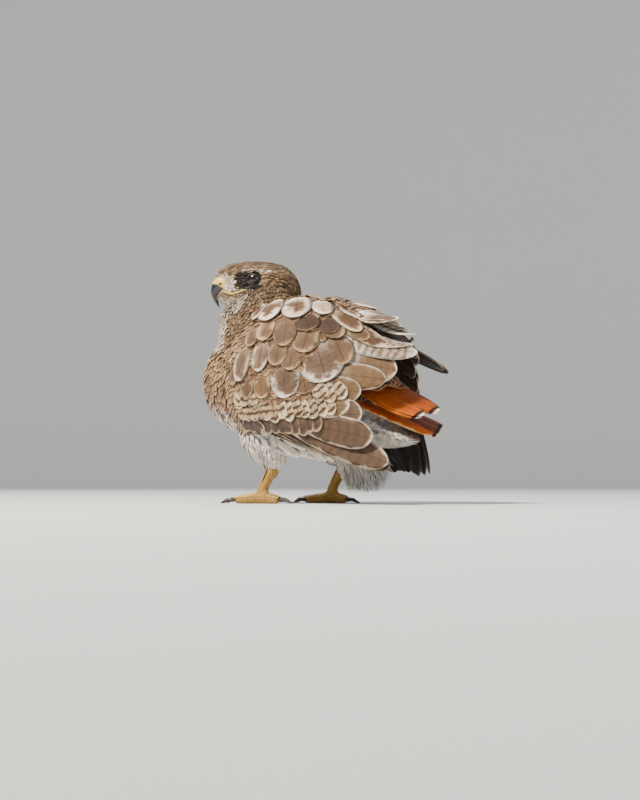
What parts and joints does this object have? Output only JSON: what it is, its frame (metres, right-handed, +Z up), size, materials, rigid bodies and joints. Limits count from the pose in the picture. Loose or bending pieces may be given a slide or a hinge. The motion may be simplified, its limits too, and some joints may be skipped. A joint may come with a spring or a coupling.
{
  "type": "red-tailed hawk",
  "caption": "Life-size still model of a perched red-tailed hawk, one wing folded and one drooping, head turned to its left.",
  "frame": {"origin": "on the floor, at the centre of the bird's box", "axes": "+X the way the body faces, +Y to the bird's left, +Z up"},
  "size_m": [0.3394, 0.1932, 0.2993],
  "materials": {
    "brown_feathers": "matte feather",
    "white_feathers": "soft feather",
    "dark_quills": "satin feather",
    "red_tail": "satin feather",
    "horn": "polished horn",
    "yellow_skin": "scaled skin",
    "eye": "wet eye"
  },
  "bodies": {
    "root": {"bill_lower": "horn", "bill_upper": "horn", "claw_hind_left": "horn", "claw_hind_right": "horn", "claw_inner_left": "horn", "claw_inner_right": "horn", "claw_middle_left": "horn", "claw_middle_right": "horn", "claw_outer_left": "horn", "claw_outer_right": "horn", "eye_left": "eye", "eye_right": "eye", "foot_left": "yellow_skin", "foot_right": "yellow_skin", "head": "brown_feathers", "neck": "brown_feathers", "primaries_left": "dark_quills", "primaries_right": "dark_quills", "tail": "red_tail", "tarsus_left": "yellow_skin", "tarsus_right": "yellow_skin", "tertial_right": "dark_quills", "thigh_left": "white_feathers", "thigh_right": "white_feathers", "trunk": "brown_feathers", "undertail": "white_feathers", "wing_left": "brown_feathers", "wing_right": "brown_feathers"}
  },
  "joints": []
}
